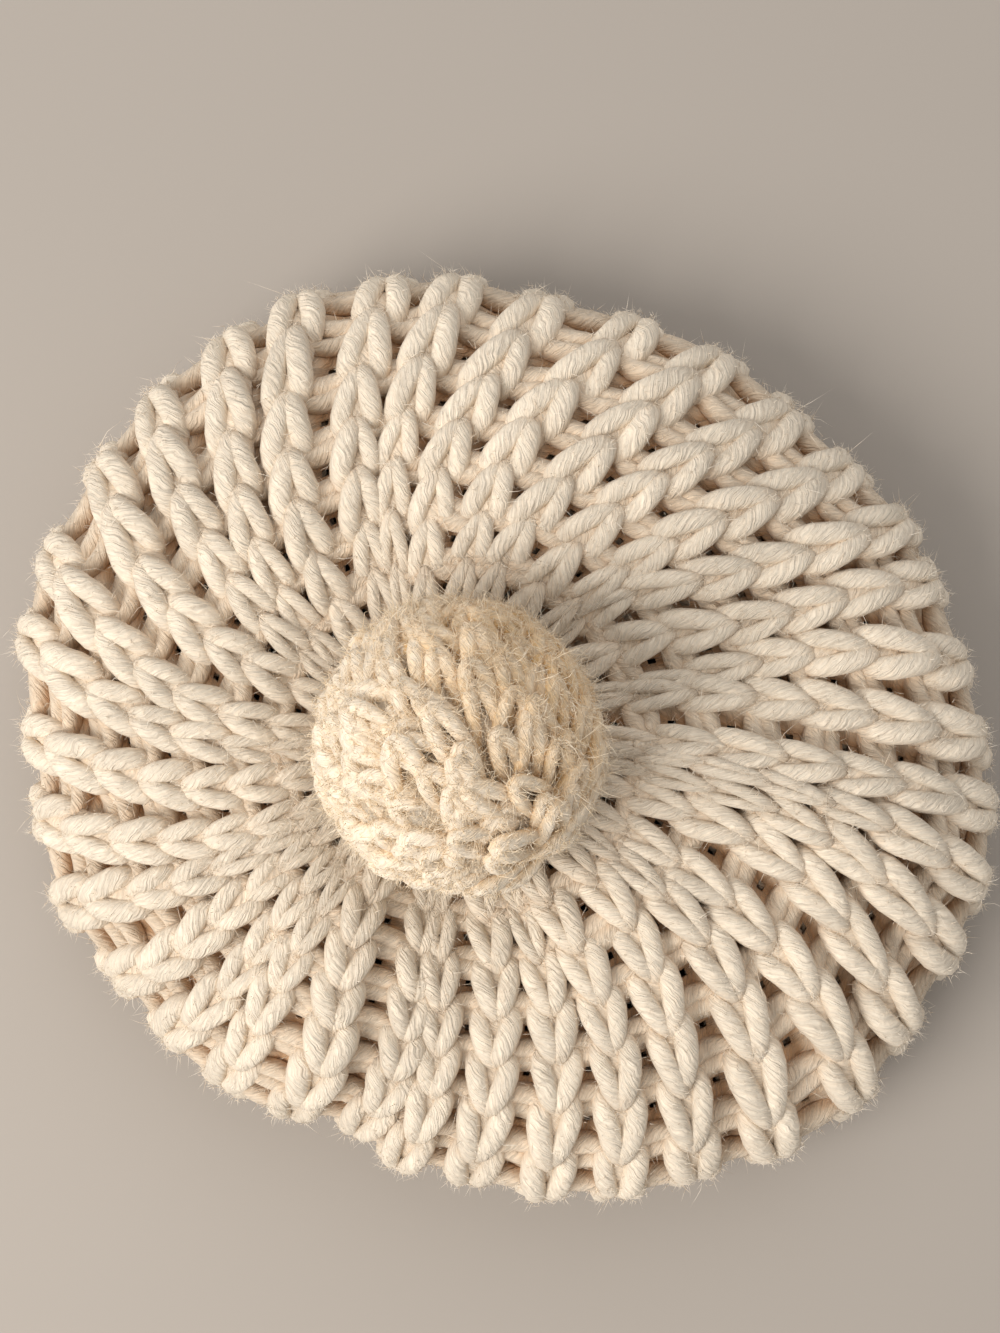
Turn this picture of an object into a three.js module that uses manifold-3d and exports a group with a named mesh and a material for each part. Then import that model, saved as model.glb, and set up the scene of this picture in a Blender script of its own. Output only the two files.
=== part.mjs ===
// Knitted tam o shanter with a pompom, lying on its head opening. Sizes in mm, +Z up.
// +X points to the right of the photo, +Y to its top, and the origin is on the surface that the
// hat rests on, under the middle of the rim's outline.
// The fabric is chunky 1x1 rib: a raised column of stitches, then a sunk one, 36 times round.
import * as THREE from "three";
import { mergeVertices } from "three/addons/utils/BufferGeometryUtils.js";
import Module from "manifold-3d";

const DEG = Math.PI / 180;

// Crown: outline and height
const RIM_RADIUS = 136; // mean reach of the rib tips from the middle of the outline
const CROWN_TOP = 49; // height of the middle of the fabric where the top is highest
const GATHER_LEFT = 21; // the top is drawn together left of the outline's middle
const GATHER_DOWN = 3; // and a little below it in the photo
const SWIRL = 12; // degrees that the ribs turn from the rim in to the gather
const EYE_RADIUS = 4; // small eye that is left at the gather

// Fabric
const RIB_RISE = 4.4; // a rib's crest above the middle of the fabric, at the rim
const RIB_SINK = 3.6; // the valley between two ribs below it
const YARN_HALF = 2.8; // half the thickness of the yarn, which the wall keeps outside and inside
const WALL_INSIDE = 4.2; // inner face of the wall from the middle of the fabric
const DEEPEST_VALLEY = 1.3; // limit of a valley's depth as a share of RIB_SINK
const FOLD_RISE = 6; // the largest fold or dent, up or down
const FULL_RIB_AT = 0.8; // share of the way out where the ribs reach their full depth

// Head opening and headband
const OPENING_RADIUS = 84; // where the underside meets the band
const BAND_FIT = 0.5; // clearance between the underside's edge and the band
const BAND_OVER = 0.9; // the band's top above the underside's edge
const BAND_WALL = 8.5;
const BAND_RIB = 1.6; // how far the band's ribs stand out
const BAND_FACE = 5; // width of the flat edge that the hat stands on
const BAND_START = 13; // degrees, first rib of the band

// Pompom
const POMPOM_RADIUS = 35.5; // wound core, without its locks
const POMPOM_LOW = 29; // core below its widest level
const POMPOM_HIGH = 32; // core above it
const POMPOM_RIGHT = 9.5; // the pompom leans from the gather to the right
const POMPOM_DOWN = 1.5;
const POMPOM_SEAT = 9.2; // underside of the core above the fabric at the eye
const LOCK_COUNT = 54; // places for locks all round, the lowest of them left bare
const LOCK_LOWEST = -0.75; // sine of the lowest lock's direction below the widest level
const LOCK_LENGTH = 24;
const LOCK_WIDTH = 13;
const LOCK_PROUD = 3.6; // a lock's rise above the core
const LOCK_LAY = 60; // degrees that a lock leans over from straight out
const LOCK_WANDER = 126; // degrees that the lay turns from one lock to the next

// Yarn tie through the eye
const TIE_FIT = 0.5; // clearance in the eye and in the pompom
const TIE_RADIUS = EYE_RADIUS - TIE_FIT;
const TIE_DEPTH = 16; // length inside the pompom
const KNOT_RADIUS = 8;
const KNOT_HEIGHT = 9;
const KNOT_WAIST = 0.35; // share of its height where it is full, from either end

// One row for each rib, counterclockwise from the right. Columns: angle in degrees at the rim, at
// the three stops farther in, reach of its tip as a share of RIM_RADIUS, fold near the rim and
// near the pompom as shares of FOLD_RISE, depth of the valley after it as a share of RIB_SINK.
const [AT_RIM, REACH, FOLD_OUT, FOLD_IN, VALLEY] = [0, 4, 5, 6, 7];
const RIBS = [
  [8, 9.5, 11, 9, 0.993, 0, -0.7, 1.1],
  [18.5, 19.5, 18, 22, 0.975, 0, -0.4, 1.6],
  [27, 26.5, 28, 36, 0.973, 0.1, 0, 1],
  [36.5, 37, 40, 42, 0.938, 0, 0.3, 0.9],
  [48, 48.5, 53, 55, 0.921, 0, 0.5, 0.8],
  [59, 61, 65, 69, 0.929, 0.1, 0.6, 0.8],
  [71.5, 74, 79, 80, 0.923, 0, 0.5, 0.8],
  [84, 87, 92, 93, 0.933, 0, 0.3, 1.1],
  [95.5, 98.5, 101.5, 103, 0.979, 0, -0.2, 1],
  [105, 107.5, 110, 111, 0.997, 0.1, -0.3, 1.1],
  [115, 118, 124, 125, 1.031, 0.2, -0.1, 1.6],
  [125, 127.5, 134, 137, 1.037, 0.1, 0, 1],
  [135.5, 139, 142.5, 144, 1.051, 0, 0.1, 1.1],
  [146, 150, 154, 155, 1.052, 0.1, 0.1, 1.6],
  [158, 161.7, 166.5, 169, 1.063, 0.1, 0.2, 1],
  [167.5, 171.7, 174.2, 176, 1.053, 0, 0.2, 1],
  [179.5, 182.5, 185, 186, 1.021, 0.1, 0.2, 1.6],
  [190, 192.5, 195.8, 196.7, 1.019, 0, 0.1, 1],
  [201, 202, 202, 202, 1.018, -0.1, 0, 1],
  [211, 213.3, 210.8, 208.3, 0.988, -0.2, 0, 1.2],
  [221.5, 222, 220, 217.5, 0.979, 0, 0.2, 1],
  [231, 230, 225.8, 224, 0.965, 0.4, 0.6, 0.7],
  [240, 241, 236.5, 233, 0.936, 0.4, 0.6, 1.7],
  [248.5, 252, 250.8, 250, 0.909, -0.1, -0.5, 1.1],
  [256, 258, 258, 256.7, 0.949, -0.2, -0.6, 1.5],
  [264.5, 267, 269, 271, 0.957, 0, -0.4, 1],
  [274, 276.5, 281, 282, 0.985, 0, -0.1, 1],
  [283, 286.7, 290, 291, 1.01, 0.1, 0.4, 0.9],
  [292.5, 295.8, 300, 306, 1.029, 0.1, 0.4, 1.8],
  [302.5, 305.8, 313, 315, 1.064, 0, 0.3, 1],
  [312.5, 317.5, 321.7, 323, 1.087, 0, -0.2, 1.5],
  [322, 327.5, 334.6, 335.8, 1.07, 0, -0.2, 1.6],
  [332, 337, 342.5, 343.3, 1.066, 0.3, 0.4, 1],
  [341, 344, 346, 348, 1.068, 0.6, 0.8, 0.8],
  [350, 351, 350, 351, 1.047, 0.4, 0.5, 1.2],
  [358.5, 359, 361.7, 365, 1.023, -0.1, -0.5, 1],
];
const RIB_STOPS = [1, 0.84, 0.63, 0.47]; // shares of the way out that the angles belong to
const FOLD_STOPS = [0.1, 0.47, 0.8, 1]; // where the folds start, peak twice and end

// The middle of the fabric lies this far inside the rib tips, and the eye this far along the top.
const crestOut = RIB_RISE + YARN_HALF;
const meanReach = RIM_RADIUS - crestOut;
const eyeShare = EYE_RADIUS / meanReach;
const eyeX = -(1 - eyeShare) * GATHER_LEFT;
const eyeY = -(1 - eyeShare) * GATHER_DOWN;

// One row for each section of the top, from the eye to the rim. Columns: share of the way out,
// height as a share of CROWN_TOP. Each pair of rows in EYELET_ROWS bounds a ring of eyelets.
const TOP_ROWS = [
  [eyeShare, 0.66],
  [0.11, 0.72],
  [0.21, 0.83],
  [0.33, 0.94],
  [0.46, 1],
  [0.6, 1],
  [0.725, 0.965],
  [0.76, 0.95],
  [0.835, 0.9],
  [0.87, 0.865],
  [0.945, 0.75],
  [0.98, 0.64],
  [1, 0.46],
];
const EYELET_ROWS = [6, 8, 10];

// One row for each section of the underside, from the rim to the head opening. Columns: share of
// the way in to the opening, height as a share of CROWN_TOP.
const UNDER_ROWS = [
  [0.03, 0.37],
  [0.12, 0.31],
  [0.3, 0.33],
  [0.65, 0.385],
  [1, 0.42],
];

// Columns of the surface within one rib pitch, as shares of the pitch from the rib's crest line.
// A crest is flat on top, and a valley is flat where its eyelets are.
const CREST_SIDE = 0.2;
const VALLEY_SIDE = 0.38;
const OUTER_COLUMNS = [
  { at: -CREST_SIDE, crest: 1 },
  { at: CREST_SIDE, crest: 1 },
  { at: VALLEY_SIDE, crest: 0 },
  { at: 1 - VALLEY_SIDE, crest: 0 },
];
const INNER_COLUMNS = OUTER_COLUMNS.filter((column) => column.crest === 0);

const mix = (a, b, t) => a + (b - a) * t;
const clamp01 = (t) => Math.min(1, Math.max(0, t));

// Value at a place on a polyline given by its stops in rising order.
function along(stops, values, at) {
  let k = 1;
  while (k < stops.length - 1 && at > stops[k]) k += 1;
  const t = clamp01((at - stops[k - 1]) / (stops[k] - stops[k - 1]));
  return mix(values[k - 1], values[k], t);
}

// The two ribs on each side of a place round the hat, counted in ribs, and the share between.
function neighbours(u) {
  const whole = Math.floor(u);
  const n = RIBS.length;
  const low = ((whole % n) + n) % n;
  const high = (low + 1) % n;
  const turns = (whole - low) / n;
  return { low, high, t: u - whole, turn: 360 * turns, wrap: high === 0 ? 360 : 0 };
}

function columnValue(u, column) {
  const { low, high, t } = neighbours(u);
  return mix(RIBS[low][column], RIBS[high][column], t);
}

// Angle of a place round the hat, u ribs from the first, at a share of the way out.
function ribAngle(u, share) {
  const { low, high, t, turn, wrap } = neighbours(u);
  const stops = [...RIB_STOPS].reverse();
  const angles = (row) => RIB_STOPS.map((stop, k) => RIBS[row][AT_RIM + k]).reverse();
  const a = along(stops, angles(low), share);
  const b = along(stops, angles(high), share) + wrap;
  return mix(a, b, t) + turn;
}

// Up or down shift of the fabric by the folds and dents.
function foldAt(u, share) {
  const values = [0, columnValue(u, FOLD_IN), columnValue(u, FOLD_OUT), 0];
  return FOLD_RISE * along(FOLD_STOPS, values, share);
}

const reachAt = (u) => RIM_RADIUS * columnValue(u, REACH) - crestOut;
const bandAngle = (u) => BAND_START + (360 / RIBS.length) * u;

// Middle of the fabric on the top: the way out from the gather, turned by the swirl.
function topPoint(u, [share, height]) {
  const angle = (ribAngle(u, share) + SWIRL * (1 - share)) * DEG;
  const radius = share * mix(meanReach, reachAt(u), share);
  return new THREE.Vector3(
    radius * Math.cos(angle) - (1 - share) * GATHER_LEFT,
    radius * Math.sin(angle) - (1 - share) * GATHER_DOWN,
    height * CROWN_TOP + foldAt(u, share),
  );
}

// Middle of the fabric on the underside: from the rim in to the round head opening.
function underPoint(u, [share, height]) {
  const angle = mix(ribAngle(u, 1), bandAngle(u), share) * DEG;
  const radius = mix(reachAt(u), OPENING_RADIUS, share);
  return new THREE.Vector3(
    radius * Math.cos(angle),
    radius * Math.sin(angle),
    height * CROWN_TOP,
  );
}

const SECTIONS = [
  ...TOP_ROWS.map((row) => ({ point: (u) => topPoint(u, row), depth: clamp01(row[0] / FULL_RIB_AT) })),
  ...UNDER_ROWS.map((row) => ({ point: (u) => underPoint(u, row), depth: 1 })),
];
const LAST = SECTIONS.length - 1;

// Outward normal of the middle of the fabric, from its neighbours along and across the ribs.
// At the two edges the fabric faces straight up or down, so that they stay round.
function normalAt(section, u) {
  if (section === 0) return new THREE.Vector3(0, 0, 1);
  if (section === LAST) return new THREE.Vector3(0, 0, -1);
  const out = SECTIONS[section + 1].point(u).sub(SECTIONS[section - 1].point(u));
  const round = SECTIONS[section].point(u + 0.5).sub(SECTIONS[section].point(u - 0.5));
  return out.cross(round).normalize();
}

// A vertex of the outer face: crest or valley floor of the rib at this place.
function outerVertex(section, rib, column) {
  const u = rib + column.at;
  const valley = RIBS[rib][VALLEY];
  const flat = section === 0 || section === LAST;
  const depth = flat ? 0 : SECTIONS[section].depth;
  const rise = column.crest ? RIB_RISE * depth : -RIB_SINK * Math.min(valley * depth, DEEPEST_VALLEY);
  return SECTIONS[section].point(u).addScaledVector(normalAt(section, u), rise + YARN_HALF);
}

// A vertex of the inner face, which is even.
function innerVertex(section, rib, column) {
  const u = rib + column.at;
  const valley = Math.min(RIBS[rib][VALLEY] * SECTIONS[section].depth, DEEPEST_VALLEY);
  const inset = WALL_INSIDE + Math.max(0, RIB_SINK * (valley - 1));
  return SECTIONS[section].point(u).addScaledVector(normalAt(section, u), -inset);
}

// Collects triangles for one closed body.
class Skin {
  constructor() {
    this.positions = [];
  }
  add(a, b, c) {
    for (const p of [a, b, c]) this.positions.push(p.x, p.y, p.z);
  }
  quad(a, b, c, d) {
    this.add(a, b, c);
    this.add(a, c, d);
  }
  geometry() {
    const made = new THREE.BufferGeometry();
    made.setAttribute("position", new THREE.Float32BufferAttribute(this.positions, 3));
    made.computeVertexNormals();
    return made;
  }
}

// A ring of vertices round the hat, each with its place u, for a list of columns.
function ring(section, columns, vertex) {
  return RIBS.flatMap((row, rib) =>
    columns.map((column) => ({ u: rib + column.at, p: vertex(section, rib, column) })),
  );
}

// Joins two rings that may have different numbers of vertices.
function joinRings(skin, first, second) {
  const turn = RIBS.length;
  const at = (list, k) => list[k % list.length].u + turn * Math.floor(k / list.length);
  const point = (list, k) => list[k % list.length].p;
  let i = 0;
  let j = 0;
  while (i < first.length || j < second.length) {
    const stepFirst = j >= second.length || (i < first.length && at(first, i + 1) <= at(second, j + 1));
    if (stepFirst) {
      skin.add(point(first, i), point(second, j), point(first, i + 1));
      i += 1;
    } else {
      skin.add(point(first, i), point(second, j), point(second, j + 1));
      j += 1;
    }
  }
}

function crownGeometry() {
  const skin = new Skin();
  const outer = SECTIONS.map((_, k) => ring(k, OUTER_COLUMNS, outerVertex));
  const inner = SECTIONS.map((_, k) => ring(k, INNER_COLUMNS, innerVertex));
  const perOuter = OUTER_COLUMNS.length;
  const valleyColumn = OUTER_COLUMNS.findIndex((column) => column.crest === 0);
  for (let k = 0; k < LAST; k += 1) {
    const eyelets = EYELET_ROWS.includes(k);
    for (let c = 0; c < outer[k].length; c += 1) {
      const next = (c + 1) % outer[k].length;
      if (eyelets && c % perOuter === valleyColumn) continue;
      skin.quad(outer[k][c].p, outer[k + 1][c].p, outer[k + 1][next].p, outer[k][next].p);
    }
    for (let c = 0; c < inner[k].length; c += 1) {
      const next = (c + 1) % inner[k].length;
      if (eyelets && c % INNER_COLUMNS.length === 0) continue;
      skin.quad(inner[k][c].p, inner[k][next].p, inner[k + 1][next].p, inner[k + 1][c].p);
    }
    if (eyelets) RIBS.forEach((_, rib) => eyeletWalls(skin, outer, inner, k, rib));
  }
  joinRings(skin, inner[0], outer[0]);
  joinRings(skin, outer[LAST], inner[LAST]);
  return skin.geometry();
}

// Four walls of an eyelet between the outer and the inner face of a valley.
function eyeletWalls(skin, outer, inner, k, rib) {
  const o = OUTER_COLUMNS.length * rib + OUTER_COLUMNS.findIndex((column) => column.crest === 0);
  const i = INNER_COLUMNS.length * rib;
  const outside = [outer[k][o], outer[k + 1][o], outer[k + 1][o + 1], outer[k][o + 1]];
  const inside = [inner[k][i], inner[k + 1][i], inner[k + 1][i + 1], inner[k][i + 1]];
  for (let side = 0; side < 4; side += 1) {
    const next = (side + 1) % 4;
    skin.quad(outside[side].p, outside[next].p, inside[next].p, inside[side].p);
  }
}

// One row for each section of the headband. Columns: share of the band's height, how far the
// outer face stands out at the crests and at the valleys, in depths of BAND_RIB.
const BAND_ROWS = [
  [0, -1.6, -2.8],
  [0.08, 0, -2],
  [0.45, 0, -2],
  [0.62, 0, 0],
  [1, 0, 0],
];

const edgeHeight = UNDER_ROWS[UNDER_ROWS.length - 1][1] * CROWN_TOP;
const bandHeight = edgeHeight + WALL_INSIDE + BAND_OVER;

function bandGeometry() {
  const outerRadius = OPENING_RADIUS - BAND_FIT;
  const innerRadius = outerRadius - BAND_WALL;
  const skin = new Skin();
  const count = 2 * RIBS.length;
  const circle = (radiusAt, z) =>
    Array.from({ length: count }, (_, k) => {
      const angle = bandAngle(k / 2) * DEG;
      const radius = radiusAt(k % 2 === 0);
      return new THREE.Vector3(radius * Math.cos(angle), radius * Math.sin(angle), z);
    });
  const outside = BAND_ROWS.map(([height, atCrest, atValley]) =>
    circle((crest) => outerRadius + BAND_RIB * (crest ? atCrest : atValley), height * bandHeight),
  );
  const footInner = outerRadius - 2 * BAND_RIB - BAND_FACE;
  const insideRadii = [
    [1, innerRadius],
    [0.08, innerRadius],
    [0, footInner],
  ];
  const inside = insideRadii.map(([height, radius]) => circle(() => radius, height * bandHeight));
  const loop = [...outside, ...inside];
  for (let k = 0; k < loop.length; k += 1) {
    const low = loop[k];
    const high = loop[(k + 1) % loop.length];
    for (let c = 0; c < count; c += 1) {
      const next = (c + 1) % count;
      skin.quad(low[c], low[next], high[next], high[c]);
    }
  }
  return skin.geometry();
}

const wasm = await Module();
wasm.setup();

// A three.js geometry as a solid for joining and cutting, and back.
function solidOf(geometry) {
  const bare = geometry.clone();
  bare.deleteAttribute("normal");
  bare.deleteAttribute("uv");
  const merged = mergeVertices(bare, 1e-4);
  return new wasm.Manifold(
    new wasm.Mesh({
      numProp: 3,
      vertProperties: merged.attributes.position.array,
      triVerts: new Uint32Array(merged.index.array),
    }),
  );
}

function geometryOf(solid) {
  const mesh = solid.getMesh();
  const made = new THREE.BufferGeometry();
  made.setAttribute("position", new THREE.BufferAttribute(new Float32Array(mesh.vertProperties), 3));
  made.setIndex(new THREE.BufferAttribute(new Uint32Array(mesh.triVerts), 1));
  made.computeVertexNormals();
  return made;
}

const eyeHeight = TOP_ROWS[0][1] * CROWN_TOP;
const pompomCentre = new THREE.Vector3(
  POMPOM_RIGHT - GATHER_LEFT,
  -POMPOM_DOWN - GATHER_DOWN,
  eyeHeight + POMPOM_SEAT + POMPOM_LOW,
);

// Point of the pompom's core in a direction from its centre.
function coreRadii(direction) {
  const upright = direction.z < 0 ? POMPOM_LOW : POMPOM_HIGH;
  return new THREE.Vector3(POMPOM_RADIUS, POMPOM_RADIUS, upright);
}

const CORE_AROUND = 18;
const CORE_RINGS = 10;
const GOLDEN_TURN = Math.PI * (3 - Math.sqrt(5));

function coreGeometry() {
  const profile = [];
  for (let k = 0; k <= CORE_RINGS; k += 1) {
    const tilt = -Math.PI / 2 + (Math.PI * k) / CORE_RINGS;
    const upright = tilt < 0 ? POMPOM_LOW : POMPOM_HIGH;
    const radius = k === 0 || k === CORE_RINGS ? 0 : POMPOM_RADIUS * Math.cos(tilt);
    profile.push(new THREE.Vector2(radius, upright * Math.sin(tilt)));
  }
  return new THREE.LatheGeometry(profile, CORE_AROUND).rotateX(Math.PI / 2);
}

// Locks of yarn spread evenly over the core, each a plump oval that leans over, turned step by
// step so that the lay of the locks wanders like loose loops.
function lockGeometries() {
  const made = [];
  const wander = LOCK_WANDER * DEG;
  const tilt = LOCK_LAY * DEG;
  const halfRise = Math.hypot(LOCK_LENGTH * Math.cos(tilt), LOCK_WIDTH * Math.sin(tilt)) / 2;
  for (let k = 0; k < LOCK_COUNT; k += 1) {
    const z = 1 - (2 * (k + 0.5)) / LOCK_COUNT;
    if (z < LOCK_LOWEST) break;
    const side = Math.sqrt(1 - z * z);
    const turn = GOLDEN_TURN * k;
    const out = new THREE.Vector3(side * Math.cos(turn), side * Math.sin(turn), z);
    const place = out.clone().multiply(coreRadii(out));
    const lay = new THREE.Vector3(-Math.sin(turn), Math.cos(turn), 0).applyAxisAngle(out, wander * k);
    const axis = out.clone().applyAxisAngle(lay, tilt);
    const lock = new THREE.IcosahedronGeometry(0.5, 0);
    lock.scale(LOCK_WIDTH, LOCK_WIDTH, LOCK_LENGTH);
    lock.applyQuaternion(new THREE.Quaternion().setFromUnitVectors(new THREE.Vector3(0, 0, 1), axis));
    place.addScaledVector(out, LOCK_PROUD - halfRise);
    lock.translate(place.x, place.y, place.z);
    made.push(lock);
  }
  return made;
}

const socketTop = eyeHeight + POMPOM_SEAT + TIE_DEPTH;

function pompomGeometry() {
  let body = solidOf(coreGeometry());
  for (const lock of lockGeometries()) body = body.add(solidOf(lock));
  body = body.translate([pompomCentre.x, pompomCentre.y, pompomCentre.z]);
  const socketHeight = socketTop + TIE_FIT;
  const socket = new THREE.CylinderGeometry(EYE_RADIUS, EYE_RADIUS, socketHeight, 16);
  socket.rotateX(Math.PI / 2);
  socket.translate(eyeX, eyeY, socketHeight / 2);
  return geometryOf(body.subtract(solidOf(socket)));
}

// The tie: a post through the eye into the pompom, with a round knot under the fabric.
function tieGeometry() {
  const knotTop = eyeHeight - WALL_INSIDE - TIE_FIT;
  const knotBottom = knotTop - KNOT_HEIGHT;
  const profile = [
    [0, knotBottom],
    [KNOT_RADIUS / 2, knotBottom],
    [KNOT_RADIUS, mix(knotBottom, knotTop, KNOT_WAIST)],
    [KNOT_RADIUS, mix(knotTop, knotBottom, KNOT_WAIST)],
    [KNOT_RADIUS / 2, knotTop],
    [TIE_RADIUS, knotTop],
    [TIE_RADIUS, socketTop],
    [0, socketTop],
  ].map(([radius, z]) => new THREE.Vector2(radius, z));
  const tie = new THREE.LatheGeometry(profile, 12).rotateX(Math.PI / 2);
  return tie.translate(eyeX, eyeY, 0);
}

const wool = (colour) =>
  new THREE.MeshStandardMaterial({ color: colour, roughness: 0.95, metalness: 0 });
const crownWool = wool(0xe9dcc6);
const bandWool = wool(0xe4d6bf);
const pompomWool = wool(0xead8be);
const tieWool = wool(0xdccbb0);

const tam = new THREE.Group();
tam.name = "tam_o_shanter";
const pieces = [
  ["crown", crownGeometry(), crownWool],
  ["headband", bandGeometry(), bandWool],
  ["pompom", pompomGeometry(), pompomWool],
  ["pompom_tie", tieGeometry(), tieWool],
];
for (const [name, geometry, material] of pieces) {
  const mesh = new THREE.Mesh(geometry, material);
  mesh.name = name;
  tam.add(mesh);
}

export default tam;
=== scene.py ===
# %% [markdown]
# # A hand-knitted tam o shanter with a pompom
# The hat is chunky 1x1 rib in soft plied wool: each rib is a column of V-shaped stitches, and each
# valley is a ladder of yarn with small holes. This lesson lays strands of yarn over the packed
# solids. Shapes are worked out in millimetres as numpy arrays, and in metres in the mesh.

# %% Load the frame
import math

import bpy
import numpy as np
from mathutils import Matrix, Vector


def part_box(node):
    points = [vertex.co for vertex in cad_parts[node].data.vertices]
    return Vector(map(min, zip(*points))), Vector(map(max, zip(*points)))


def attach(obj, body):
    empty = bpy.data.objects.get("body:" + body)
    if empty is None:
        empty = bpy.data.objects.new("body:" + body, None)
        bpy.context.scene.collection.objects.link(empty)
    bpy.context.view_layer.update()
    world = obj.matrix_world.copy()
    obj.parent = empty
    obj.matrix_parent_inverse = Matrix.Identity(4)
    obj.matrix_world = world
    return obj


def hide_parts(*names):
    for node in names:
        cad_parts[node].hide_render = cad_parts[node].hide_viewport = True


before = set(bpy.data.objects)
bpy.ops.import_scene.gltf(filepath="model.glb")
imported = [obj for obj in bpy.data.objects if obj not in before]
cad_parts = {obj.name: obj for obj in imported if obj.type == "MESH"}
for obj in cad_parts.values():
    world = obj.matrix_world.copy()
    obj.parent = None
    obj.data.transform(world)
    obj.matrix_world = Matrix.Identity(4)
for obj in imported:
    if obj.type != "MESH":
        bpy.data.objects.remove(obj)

MM = 0.001
TURN = 2 * math.pi
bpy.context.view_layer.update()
SEED = 36
rng = np.random.default_rng(SEED)

# %% [markdown]
# ## The form of the fabric
# The hat was knitted round, drawn together under the pompom and laid down, so its ribs swirl a
# little and some fold up or sink in. One row of numbers made each rib of the solids. The rows are
# repeated here, so that the yarn follows them.

# %% Rows for the ribs
# Columns: angle at the rim and at three stops farther in, reach of the tip, fold near the rim
# and near the pompom, depth of the valley after the rib.
RIBS = np.array([
    [8, 9.5, 11, 9, 0.993, 0, -0.7, 1.1],
    [18.5, 19.5, 18, 22, 0.975, 0, -0.4, 1.6],
    [27, 26.5, 28, 36, 0.973, 0.1, 0, 1],
    [36.5, 37, 40, 42, 0.938, 0, 0.3, 0.9],
    [48, 48.5, 53, 55, 0.921, 0, 0.5, 0.8],
    [59, 61, 65, 69, 0.929, 0.1, 0.6, 0.8],
    [71.5, 74, 79, 80, 0.923, 0, 0.5, 0.8],
    [84, 87, 92, 93, 0.933, 0, 0.3, 1.1],
    [95.5, 98.5, 101.5, 103, 0.979, 0, -0.2, 1],
    [105, 107.5, 110, 111, 0.997, 0.1, -0.3, 1.1],
    [115, 118, 124, 125, 1.031, 0.2, -0.1, 1.6],
    [125, 127.5, 134, 137, 1.037, 0.1, 0, 1],
    [135.5, 139, 142.5, 144, 1.051, 0, 0.1, 1.1],
    [146, 150, 154, 155, 1.052, 0.1, 0.1, 1.6],
    [158, 161.7, 166.5, 169, 1.063, 0.1, 0.2, 1],
    [167.5, 171.7, 174.2, 176, 1.053, 0, 0.2, 1],
    [179.5, 182.5, 185, 186, 1.021, 0.1, 0.2, 1.6],
    [190, 192.5, 195.8, 196.7, 1.019, 0, 0.1, 1],
    [201, 202, 202, 202, 1.018, -0.1, 0, 1],
    [211, 213.3, 210.8, 208.3, 0.988, -0.2, 0, 1.2],
    [221.5, 222, 220, 217.5, 0.979, 0, 0.2, 1],
    [231, 230, 225.8, 224, 0.965, 0.4, 0.6, 0.7],
    [240, 241, 236.5, 233, 0.936, 0.4, 0.6, 1.7],
    [248.5, 252, 250.8, 250, 0.909, -0.1, -0.5, 1.1],
    [256, 258, 258, 256.7, 0.949, -0.2, -0.6, 1.5],
    [264.5, 267, 269, 271, 0.957, 0, -0.4, 1],
    [274, 276.5, 281, 282, 0.985, 0, -0.1, 1],
    [283, 286.7, 290, 291, 1.01, 0.1, 0.4, 0.9],
    [292.5, 295.8, 300, 306, 1.029, 0.1, 0.4, 1.8],
    [302.5, 305.8, 313, 315, 1.064, 0, 0.3, 1],
    [312.5, 317.5, 321.7, 323, 1.087, 0, -0.2, 1.5],
    [322, 327.5, 334.6, 335.8, 1.07, 0, -0.2, 1.6],
    [332, 337, 342.5, 343.3, 1.066, 0.3, 0.4, 1],
    [341, 344, 346, 348, 1.068, 0.6, 0.8, 0.8],
    [350, 351, 350, 351, 1.047, 0.4, 0.5, 1.2],
    [358.5, 359, 361.7, 365, 1.023, -0.1, -0.5, 1],
])
RIB_COUNT = len(RIBS)
EVEN_STEP = 360 / RIB_COUNT
RIB_STOPS = np.array([0.47, 0.63, 0.84, 1.0])
FOLD_STOPS = np.array([0.1, 0.47, 0.8, 1.0])
even = EVEN_STEP * np.arange(RIB_COUNT)
# The angles without their even spacing are the same again after a full turn.
drift = RIBS[:, [3, 2, 1, 0]] - even[:, None]
folds = np.stack([np.zeros(RIB_COUNT), RIBS[:, 6], RIBS[:, 5], np.zeros(RIB_COUNT)], axis=1)
DEEPEST_VALLEY = 1.3
valley_depth = np.minimum(RIBS[:, 7], DEEPEST_VALLEY)
print("ribs:", RIB_COUNT, "every", round(EVEN_STEP, 1), "degrees")

# %% [markdown]
# ## Sizes of the hat
# These are the solids' sizes in millimetres. The fabric runs through rows of points: from the eye
# under the pompom over the top to the rim, and from the rim back to the head opening.

# %% Sizes and rows of the fabric
RIM_RADIUS = 136
CROWN_TOP = 49
GATHER = np.array([-21, -3])
SWIRL = 12
RIB_RISE = 4.4
RIB_SINK = 3.6
YARN_HALF = 2.8
FOLD_RISE = 6
FULL_RIB_AT = 0.8
OPENING_RADIUS = 84
BAND_START = 13
BAND_OUTER = OPENING_RADIUS - 0.5
MEAN_REACH = RIM_RADIUS - RIB_RISE - YARN_HALF
# Columns: share of the way out from the gather, height as a share of CROWN_TOP.
TOP_ROWS = np.array([
    [4 / MEAN_REACH, 0.66], [0.11, 0.72], [0.21, 0.83], [0.33, 0.94], [0.46, 1], [0.6, 1],
    [0.725, 0.965], [0.76, 0.95], [0.835, 0.9], [0.87, 0.865], [0.945, 0.75], [0.98, 0.64],
    [1, 0.46],
])
# The same on the way in from the rim to the head opening.
UNDER_ROWS = np.array([[0.03, 0.37], [0.12, 0.31], [0.3, 0.33], [0.65, 0.385], [1, 0.42]])
RIM_ROW = len(TOP_ROWS) - 1
LAST_ROW = RIM_ROW + len(UNDER_ROWS)
print("rows to the rim:", len(TOP_ROWS), "and back:", len(UNDER_ROWS))

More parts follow.
